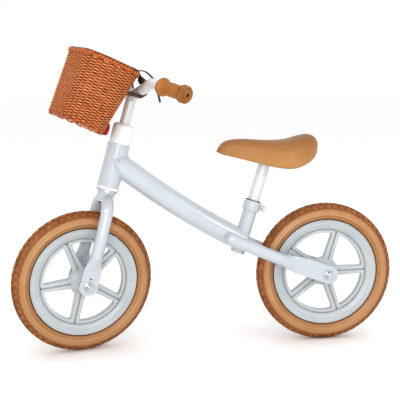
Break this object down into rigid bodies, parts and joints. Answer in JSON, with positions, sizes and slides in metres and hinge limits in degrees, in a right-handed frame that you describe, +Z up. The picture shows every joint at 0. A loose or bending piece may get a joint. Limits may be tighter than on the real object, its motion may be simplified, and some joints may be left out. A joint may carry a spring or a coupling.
{
  "type": "balance bike",
  "caption": "Child's balance bike with moulded spoked wheels, air tyres, curved main tube, woven front basket on straps, swept handlebar and padded saddle.",
  "frame": {"origin": "on the ground in the frame's mid-plane, halfway between the two axles", "axes": "+X forward from the rear wheel to the front wheel, +Y to the rider's left, +Z up"},
  "size_m": [0.8308, 0.3723, 0.6446],
  "materials": {
    "frame_paint": "gloss",
    "white_paint": "gloss",
    "white_plastic": "gloss",
    "black_plastic": "satin",
    "zinc_steel": "satin",
    "bearing_steel": "polished",
    "alloy": "satin",
    "rim_plastic": "satin",
    "tan_tyre": "satin",
    "tube_rubber": "matt",
    "grip_rubber": "satin",
    "tan_leatherette": "satin",
    "wicker": "satin",
    "strap_leather": "satin",
    "red_rubber": "satin"
  },
  "bodies": {
    "frame": {"head_tube": "frame_paint", "main_tube": "frame_paint", "seat_tube": "frame_paint", "chainstay_left": "frame_paint", "chainstay_right": "frame_paint", "lower_head_cup": "frame_paint", "upper_head_cup": "frame_paint", "seat_clamp": "frame_paint", "seat_clamp_screw": "zinc_steel", "seat_clamp_nut": "zinc_steel", "seat_tube_shim": "black_plastic", "rear_axle": "zinc_steel", "rear_axle_spacers": "alloy", "rear_axle_washers": "zinc_steel", "rear_axle_nuts": "zinc_steel", "rear_bearing_inner_rings": "bearing_steel"},
    "fork": {"steerer_tube": "zinc_steel", "fork_crown": "frame_paint", "fork_leg_left": "frame_paint", "fork_leg_right": "frame_paint", "crown_race": "zinc_steel", "head_cone": "zinc_steel", "head_lock_nut": "zinc_steel", "lower_head_balls": "bearing_steel", "upper_head_balls": "bearing_steel", "stem_collar": "alloy", "stem_collar_screw": "zinc_steel", "head_cover": "white_plastic", "front_axle": "zinc_steel", "front_axle_spacers": "alloy", "front_axle_washers": "zinc_steel", "front_axle_nuts": "zinc_steel", "front_bearing_inner_rings": "bearing_steel"},
    "handlebar": {"stem": "white_paint", "handlebar": "white_paint", "grip_left": "grip_rubber", "grip_right": "grip_rubber", "basket": "wicker", "basket_rim": "wicker", "basket_border": "wicker", "strap_left": "strap_leather", "strap_right": "strap_leather", "strap_buckles": "strap_leather", "basket_bumper": "red_rubber"},
    "front_wheel": {"front_rim": "rim_plastic", "front_tyre": "tan_tyre", "front_inner_tube": "tube_rubber", "front_bearing_outer_rings": "bearing_steel", "front_bearing_balls": "bearing_steel"},
    "rear_wheel": {"rear_rim": "rim_plastic", "rear_tyre": "tan_tyre", "rear_inner_tube": "tube_rubber", "rear_bearing_outer_rings": "bearing_steel", "rear_bearing_balls": "bearing_steel"},
    "seat": {"seat_post": "white_paint", "saddle_bracket": "zinc_steel", "saddle_bolts": "zinc_steel", "saddle_pan": "black_plastic", "saddle_cover": "tan_leatherette"}
  },
  "joints": [
    {"name": "steering", "type": "hinge", "parent": "frame", "child": "fork", "pos_m": [0.265, 0, 0.1525], "axis": [-0.2756, 0, 0.9613], "range_deg": [-75, 45]},
    {"name": "bar_height", "type": "slide", "parent": "fork", "child": "handlebar", "axis": [-0.2756, 0, 0.9613], "range_m": [-0.025, 0.04]},
    {"name": "seat_height", "type": "slide", "parent": "frame", "child": "seat", "axis": [-0.3007, 0, 0.9537], "range_m": [-0.03, 0.035]},
    {"name": "front_wheel_spin", "type": "hinge", "parent": "fork", "child": "front_wheel", "pos_m": [0.265, 0, 0.1525], "axis": [-0.2488, 0.9659, -0.0713], "continuous": true},
    {"name": "rear_wheel_spin", "type": "hinge", "parent": "frame", "child": "rear_wheel", "pos_m": [-0.265, 0, 0.1525], "axis": [0, 1, 0], "continuous": true}
  ]
}
